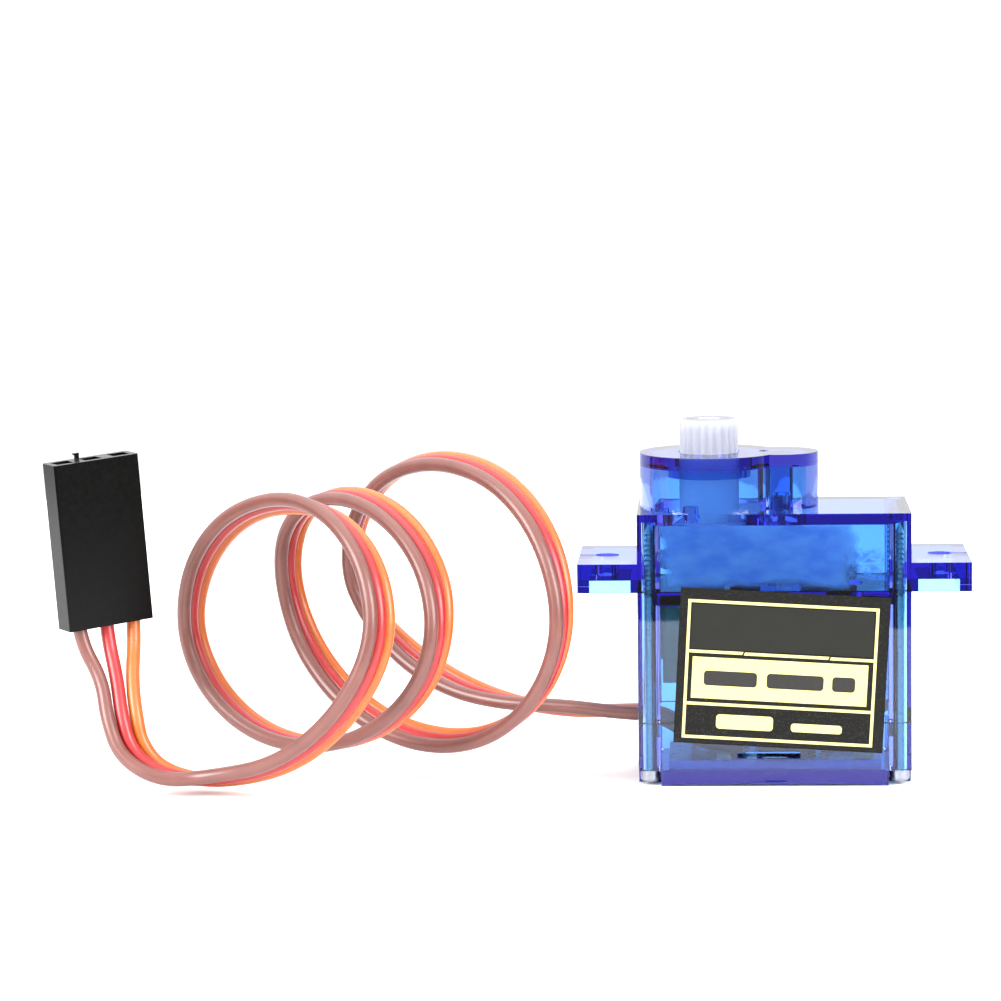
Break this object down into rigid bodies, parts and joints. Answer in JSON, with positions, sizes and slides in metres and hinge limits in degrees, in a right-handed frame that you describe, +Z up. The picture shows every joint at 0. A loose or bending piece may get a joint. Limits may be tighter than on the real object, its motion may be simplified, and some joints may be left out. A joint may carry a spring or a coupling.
{
  "type": "hobby servo motor",
  "caption": "Micro servo in a clear blue case with mounting tabs, gear train, splined output and a three wire lead ending in a flat plug.",
  "frame": {"origin": "centre of the case's bottom face, on which the servo stands", "axes": "+X along the case towards the motor end, away from the lead; +Y towards the back, away from the label; +Z up along the output axis"},
  "size_m": [0.0766, 0.0276, 0.0301],
  "materials": {
    "blue_clear": "transparent blue moulded",
    "label_print": "charcoal sticker with cream print",
    "nylon_white": "translucent moulded nylon",
    "steel_bright": "zinc plated steel",
    "steel_dull": "pressed sheet steel",
    "brass_turned": "turned brass",
    "black_plastic": "glossy black moulded",
    "black_matte": "matte black moulded",
    "teal_plastic": "moulded teal",
    "magnet_grey": "sintered ferrite",
    "copper_wire": "enamelled copper",
    "board_blue": "solder mask",
    "chip_ceramic": "fired ceramic",
    "carbon_track": "printed carbon track",
    "wire_brown": "soft insulation",
    "wire_red": "soft insulation",
    "wire_orange": "soft insulation"
  },
  "bodies": {
    "servo_case": {"top_case": "blue_clear", "middle_case": "blue_clear", "bottom_cover": "blue_clear", "case_screws": "steel_bright", "label": "label_print", "gear_axle": "steel_bright", "motor_can": "steel_dull", "motor_end_cap": "black_matte", "motor_terminals": "brass_turned", "motor_bushes": "brass_turned", "motor_magnets": "magnet_grey", "motor_brushes": "brass_turned", "pot_housing": "teal_plastic", "pot_base": "black_matte", "pot_terminals": "steel_bright", "pot_track": "carbon_track", "circuit_board": "board_blue", "driver_chip": "black_matte", "bridge_transistors": "black_matte", "chip_capacitors": "chip_ceramic", "chip_resistors": "chip_ceramic", "motor_leads": "wire_red", "pot_leads": "wire_orange", "wire_brown": "wire_brown", "wire_red": "wire_red", "wire_orange": "wire_orange", "plug_housing": "black_plastic", "plug_contacts": "brass_turned"},
    "output": {"output_gear": "nylon_white", "pot_shaft": "nylon_white", "pot_wiper": "brass_turned"},
    "third_wheel": {"third_gear": "nylon_white"},
    "second_wheel": {"second_gear": "nylon_white"},
    "first_wheel": {"first_gear": "nylon_white"},
    "motor_rotor": {"motor_pinion": "brass_turned", "motor_shaft": "steel_bright", "armature_core": "steel_dull", "armature_windings": "copper_wire", "commutator": "copper_wire"}
  },
  "joints": [
    {"name": "motor_spin", "type": "hinge", "parent": "servo_case", "child": "motor_rotor", "pos_m": [0.0059, 0, 0.0159], "axis": [0, 0, 1], "range_deg": [-10206, 10206]},
    {"name": "first_wheel_spin", "type": "hinge", "parent": "servo_case", "child": "first_wheel", "pos_m": [0.0007, 0, 0.017], "axis": [0, 0, 1], "range_deg": [-2431.26, 2431.26]},
    {"name": "second_wheel_spin", "type": "hinge", "parent": "servo_case", "child": "second_wheel", "pos_m": [-0.0053, 0, 0.018], "axis": [0, 0, 1], "range_deg": [-810.46, 810.46]},
    {"name": "third_wheel_spin", "type": "hinge", "parent": "servo_case", "child": "third_wheel", "pos_m": [0.0007, 0, 0.019], "axis": [0, 0, 1], "range_deg": [-270.19, 270.19]},
    {"name": "output_turn", "type": "hinge", "parent": "servo_case", "child": "output", "pos_m": [-0.0053, 0, 0.0205], "axis": [0, 0, 1], "range_deg": [-90.09, 90.09]}
  ],
  "couplings": [
    {"joint": "output_turn", "follows": "motor_spin", "ratio": 0.0088183},
    {"joint": "third_wheel_spin", "follows": "motor_spin", "ratio": -0.026455},
    {"joint": "second_wheel_spin", "follows": "motor_spin", "ratio": 0.079365},
    {"joint": "first_wheel_spin", "follows": "motor_spin", "ratio": -0.2381}
  ]
}
